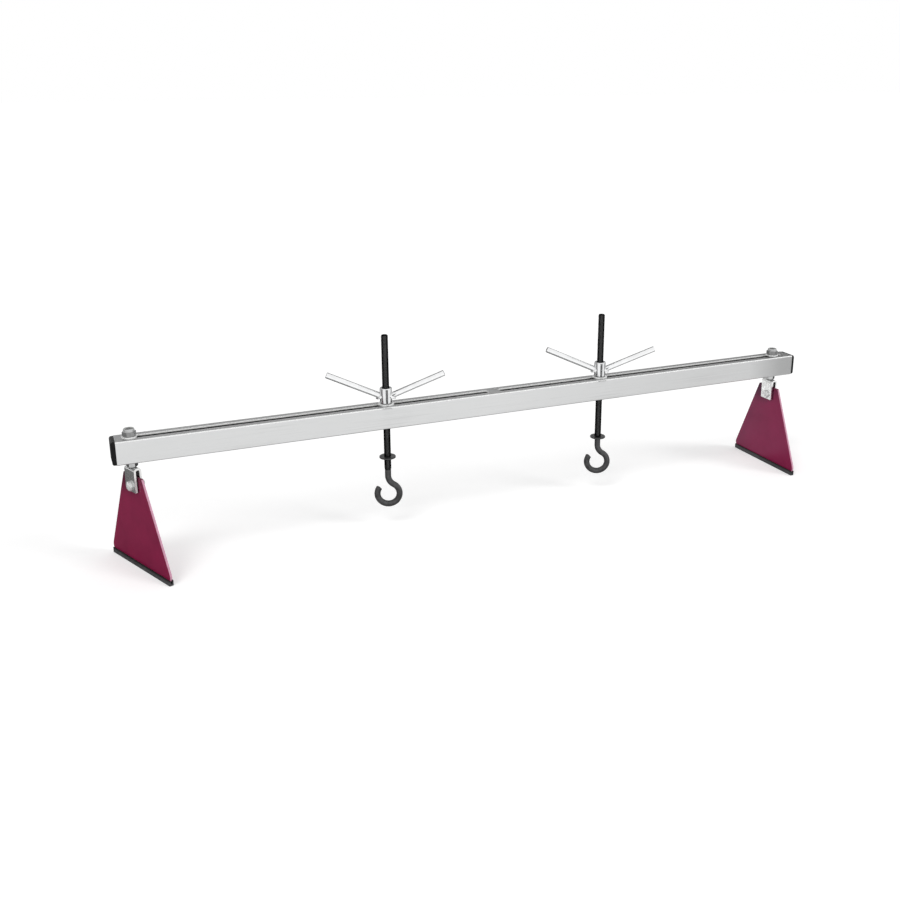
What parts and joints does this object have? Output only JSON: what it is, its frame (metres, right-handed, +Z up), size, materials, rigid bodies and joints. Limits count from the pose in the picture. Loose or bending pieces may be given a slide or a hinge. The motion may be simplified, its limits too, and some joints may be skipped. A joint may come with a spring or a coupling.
{
  "type": "engine support bar",
  "caption": "Slotted square beam on rocking feet with rubber soles, with sliding screw hooks that wing nuts raise to hold an engine up.",
  "frame": {"origin": "on the floor under the soles, below the middle of the beam", "axes": "+X along the beam to the right-hand end, +Y to the back, +Z up"},
  "size_m": [1.5255, 0.2096, 0.4044],
  "materials": {
    "beam_zinc": "satin zinc plate",
    "bright_zinc": "bright zinc plate",
    "zinc_fittings": "zinc plate",
    "black_steel": "black oxide",
    "disc_steel": "dark oxide",
    "foot_paint": "gloss enamel",
    "sole_rubber": "matt",
    "cap_plastic": "satin",
    "nylon": "satin"
  },
  "bodies": {
    "beam": {"beam_tube": "beam_zinc", "end_cap_left": "cap_plastic", "end_cap_right": "cap_plastic"},
    "left_foot_slider": {"left_foot_top_washer": "zinc_fittings", "left_foot_lower_washer": "zinc_fittings"},
    "left_fork": {"left_foot_stud": "zinc_fittings", "left_foot_fork": "zinc_fittings", "left_foot_lower_nut": "zinc_fittings", "left_foot_lock_nut": "zinc_fittings", "left_foot_nut_insert": "nylon", "left_pin_bolt": "zinc_fittings", "left_pin_nut": "zinc_fittings", "left_pin_nut_insert": "nylon"},
    "left_foot": {"left_foot_plate": "foot_paint", "left_rubber_sole": "sole_rubber"},
    "left_trolley": {"left_thrust_washer": "zinc_fittings"},
    "left_wing_nut": {"left_wing_nut_hub": "bright_zinc", "left_wing_nut_handle_front": "bright_zinc", "left_wing_nut_handle_back": "bright_zinc"},
    "left_stop_disc": {"left_stop_disc": "disc_steel"},
    "left_spindle": {"left_spindle_hook": "black_steel"},
    "right_foot_slider": {"right_foot_top_washer": "zinc_fittings", "right_foot_lower_washer": "zinc_fittings"},
    "right_fork": {"right_foot_stud": "zinc_fittings", "right_foot_fork": "zinc_fittings", "right_foot_lower_nut": "zinc_fittings", "right_foot_lock_nut": "zinc_fittings", "right_foot_nut_insert": "nylon", "right_pin_bolt": "zinc_fittings", "right_pin_nut": "zinc_fittings", "right_pin_nut_insert": "nylon"},
    "right_foot": {"right_foot_plate": "foot_paint", "right_rubber_sole": "sole_rubber"},
    "right_trolley": {"right_thrust_washer": "zinc_fittings"},
    "right_wing_nut": {"right_wing_nut_hub": "bright_zinc", "right_wing_nut_handle_front": "bright_zinc", "right_wing_nut_handle_back": "bright_zinc"},
    "right_stop_disc": {"right_stop_disc": "disc_steel"},
    "right_spindle": {"right_spindle_hook": "black_steel"}
  },
  "joints": [
    {"name": "left_foot_slide", "type": "slide", "parent": "beam", "child": "left_foot_slider", "axis": [1, 0, 0], "range_m": [0, 0.3]},
    {"name": "left_foot_swivel", "type": "hinge", "parent": "left_foot_slider", "child": "left_fork", "pos_m": [-0.723, 0, 0.217], "axis": [0, 0, 1], "continuous": true},
    {"name": "left_foot_rock", "type": "hinge", "parent": "left_fork", "child": "left_foot", "pos_m": [-0.723, 0, 0.1685], "axis": [0.9205, 0.3907, 0], "range_deg": [-30, 30]},
    {"name": "left_hook_slide", "type": "slide", "parent": "beam", "child": "left_trolley", "axis": [1, 0, 0], "range_m": [-0.266, 0.21]},
    {"name": "left_nut_turn", "type": "hinge", "parent": "left_trolley", "child": "left_wing_nut", "pos_m": [-0.234, 0, 0.262], "axis": [0, 0, 1], "range_deg": [-11160, 18720]},
    {"name": "left_hook_lift", "type": "slide", "parent": "left_trolley", "child": "left_stop_disc", "axis": [0, 0, 1], "range_m": [-0.10401, 0.06201]},
    {"name": "left_hook_turn", "type": "hinge", "parent": "left_stop_disc", "child": "left_spindle", "pos_m": [-0.234, 0, 0.217], "axis": [0, 0, 1], "continuous": true},
    {"name": "right_foot_slide", "type": "slide", "parent": "beam", "child": "right_foot_slider", "axis": [1, 0, 0], "range_m": [-0.3, 0.014]},
    {"name": "right_foot_swivel", "type": "hinge", "parent": "right_foot_slider", "child": "right_fork", "pos_m": [0.709, 0, 0.217], "axis": [0, 0, 1], "continuous": true},
    {"name": "right_foot_rock", "type": "hinge", "parent": "right_fork", "child": "right_foot", "pos_m": [0.709, 0, 0.1685], "axis": [0.9999, 0.014, 0], "range_deg": [-30, 30]},
    {"name": "right_hook_slide", "type": "slide", "parent": "beam", "child": "right_trolley", "axis": [1, 0, 0], "range_m": [-0.227, 0.249]},
    {"name": "right_nut_turn", "type": "hinge", "parent": "right_trolley", "child": "right_wing_nut", "pos_m": [0.251, 0, 0.262], "axis": [0, 0, 1], "range_deg": [-15480, 18000]},
    {"name": "right_hook_lift", "type": "slide", "parent": "right_trolley", "child": "right_stop_disc", "axis": [0, 0, 1], "range_m": [-0.10001, 0.08601]},
    {"name": "right_hook_turn", "type": "hinge", "parent": "right_stop_disc", "child": "right_spindle", "pos_m": [0.251, 0, 0.217], "axis": [0, 0, 1], "continuous": true}
  ],
  "couplings": [
    {"joint": "left_hook_lift", "follows": "left_nut_turn", "m_per_rad": -0.00031831},
    {"joint": "right_hook_lift", "follows": "right_nut_turn", "m_per_rad": -0.00031831}
  ]
}
